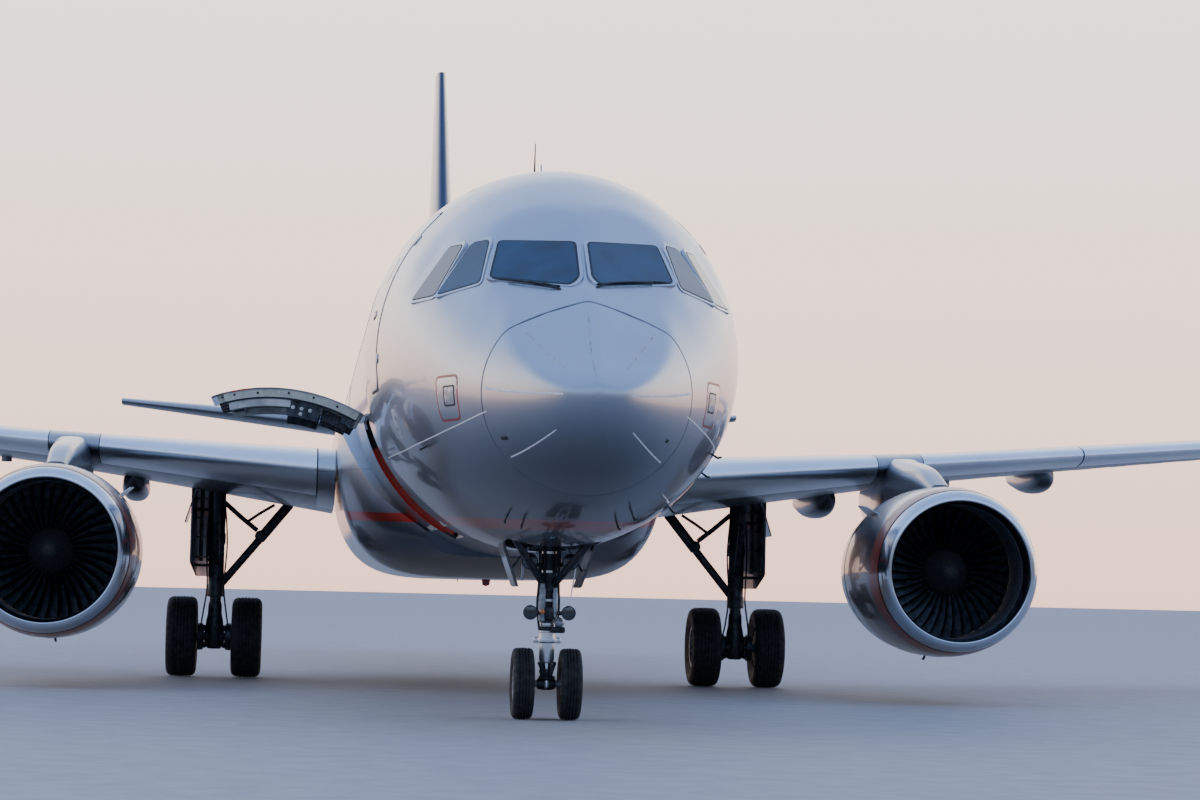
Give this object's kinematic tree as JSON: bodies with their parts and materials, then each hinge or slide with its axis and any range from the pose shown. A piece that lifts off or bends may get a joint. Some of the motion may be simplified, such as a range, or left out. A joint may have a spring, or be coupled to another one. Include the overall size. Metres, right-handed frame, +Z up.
{
  "type": "narrow-body twin-jet airliner",
  "caption": "Narrow-body twin-jet airliner in silver paint, parked on its landing gear with the forward cargo door open",
  "frame": {"origin": "centre of the bounding box in plan, at the bottom of the tyres", "axes": "+X to the port (left) side, nose towards -Y, +Z up"},
  "size_m": [34.1, 37.57, 11.76],
  "materials": {
    "silver_paint": "gloss",
    "wing_paint": "satin",
    "polished_metal": "polished",
    "engine_metal": "satin",
    "gear_steel": "satin",
    "fin_paint": "gloss",
    "cockpit_glass": "gloss",
    "tyre_rubber": "matte"
  },
  "bodies": {
    "airframe": {"radome": "silver_paint", "nose_section": "silver_paint", "cockpit_glazing": "cockpit_glass", "forward_fuselage": "silver_paint", "centre_fuselage": "silver_paint", "aft_fuselage": "silver_paint", "tail_cone": "silver_paint", "belly_fairing": "wing_paint", "front_passenger_door_left": "silver_paint", "front_passenger_door_right": "silver_paint", "rear_passenger_door_left": "silver_paint", "rear_passenger_door_right": "silver_paint", "fin": "fin_paint", "nose_gear_leg": "gear_steel", "nose_gear_door_left": "silver_paint", "nose_gear_door_right": "silver_paint", "wing_left": "wing_paint", "inner_slat_left": "polished_metal", "outer_slat_left": "polished_metal", "inner_flap_left": "wing_paint", "outer_flap_left": "wing_paint", "inlet_cowl_left": "polished_metal", "fan_cowl_left": "silver_paint", "engine_core_left": "engine_metal", "pylon_left": "wing_paint", "stabiliser_left": "wing_paint", "main_gear_leg_left": "gear_steel", "main_gear_door_left": "silver_paint", "wing_right": "wing_paint", "inner_slat_right": "polished_metal", "outer_slat_right": "polished_metal", "inner_flap_right": "wing_paint", "outer_flap_right": "wing_paint", "inlet_cowl_right": "polished_metal", "fan_cowl_right": "silver_paint", "engine_core_right": "engine_metal", "pylon_right": "wing_paint", "stabiliser_right": "wing_paint", "main_gear_leg_right": "gear_steel", "main_gear_door_right": "silver_paint"},
    "steered_nose_leg": {"nose_gear_steered_leg": "gear_steel"},
    "nose_wheels": {"nose_wheel_hubs": "gear_steel", "nose_tyre_left": "tyre_rubber", "nose_tyre_right": "tyre_rubber"},
    "forward_cargo_door": {"forward_cargo_door": "silver_paint"},
    "aft_cargo_door": {"aft_cargo_door": "silver_paint"},
    "rudder": {"rudder": "fin_paint"},
    "main_wheels_left": {"main_wheel_hubs_left": "gear_steel", "main_tyre_inner_left": "tyre_rubber", "main_tyre_outer_left": "tyre_rubber"},
    "fan_left": {"fan_left": "engine_metal"},
    "elevator_left": {"elevator_left": "wing_paint"},
    "aileron_left": {"aileron_left": "wing_paint"},
    "main_wheels_right": {"main_wheel_hubs_right": "gear_steel", "main_tyre_inner_right": "tyre_rubber", "main_tyre_outer_right": "tyre_rubber"},
    "fan_right": {"fan_right": "engine_metal"},
    "elevator_right": {"elevator_right": "wing_paint"},
    "aileron_right": {"aileron_right": "wing_paint"}
  },
  "joints": [
    {"name": "nose_wheel_steering", "type": "hinge", "parent": "airframe", "child": "steered_nose_leg", "pos_m": [0, -13.715, 0.9], "axis": [0, 0, 1], "range_deg": [-75, 75]},
    {"name": "nose_wheel_spin", "type": "hinge", "parent": "steered_nose_leg", "child": "nose_wheels", "pos_m": [0, -13.715, 0.375], "axis": [1, 0, 0], "continuous": true},
    {"name": "main_wheel_spin_left", "type": "hinge", "parent": "airframe", "child": "main_wheels_left", "pos_m": [3.795, -1.075, 0.575], "axis": [1, 0, 0], "continuous": true},
    {"name": "fan_spin_left", "type": "hinge", "parent": "airframe", "child": "fan_left", "pos_m": [5.73, -6.635, 1.71], "axis": [0, 1, 0], "continuous": true},
    {"name": "elevator_hinge_left", "type": "hinge", "parent": "airframe", "child": "elevator_left", "pos_m": [1.25, 15.7833, 4.4071], "axis": [0.9533, 0.283, 0.1057], "range_deg": [-17, 30]},
    {"name": "aileron_hinge_left", "type": "hinge", "parent": "airframe", "child": "aileron_left", "pos_m": [12.75, 1.7002, 3.8538], "axis": [0.9382, 0.3355, 0.0844], "range_deg": [-25, 25]},
    {"name": "main_wheel_spin_right", "type": "hinge", "parent": "airframe", "child": "main_wheels_right", "pos_m": [-3.795, -1.075, 0.575], "axis": [1, 0, 0], "continuous": true},
    {"name": "fan_spin_right", "type": "hinge", "parent": "airframe", "child": "fan_right", "pos_m": [-5.73, -6.635, 1.71], "axis": [0, 1, 0], "continuous": true},
    {"name": "elevator_hinge_right", "type": "hinge", "parent": "airframe", "child": "elevator_right", "pos_m": [-1.25, 15.7833, 4.4071], "axis": [0.9533, -0.283, -0.1057], "range_deg": [-17, 30]},
    {"name": "aileron_hinge_right", "type": "hinge", "parent": "airframe", "child": "aileron_right", "pos_m": [-12.75, 1.7002, 3.8538], "axis": [0.9382, -0.3355, -0.0844], "range_deg": [-25, 25]},
    {"name": "rudder_hinge", "type": "hinge", "parent": "airframe", "child": "rudder", "pos_m": [0, 15.5092, 6.05], "axis": [0, 0.2862, 0.9582], "range_deg": [-25, 25]},
    {"name": "forward_cargo_door_hinge", "type": "hinge", "parent": "airframe", "child": "forward_cargo_door", "pos_m": [-1.91335, -10.625, 3.272], "axis": [0, 1, 0], "range_deg": [-135, 0]},
    {"name": "aft_cargo_door_hinge", "type": "hinge", "parent": "airframe", "child": "aft_cargo_door", "pos_m": [-1.91335, 4.315, 3.272], "axis": [0, 1, 0], "range_deg": [0, 135]}
  ]
}
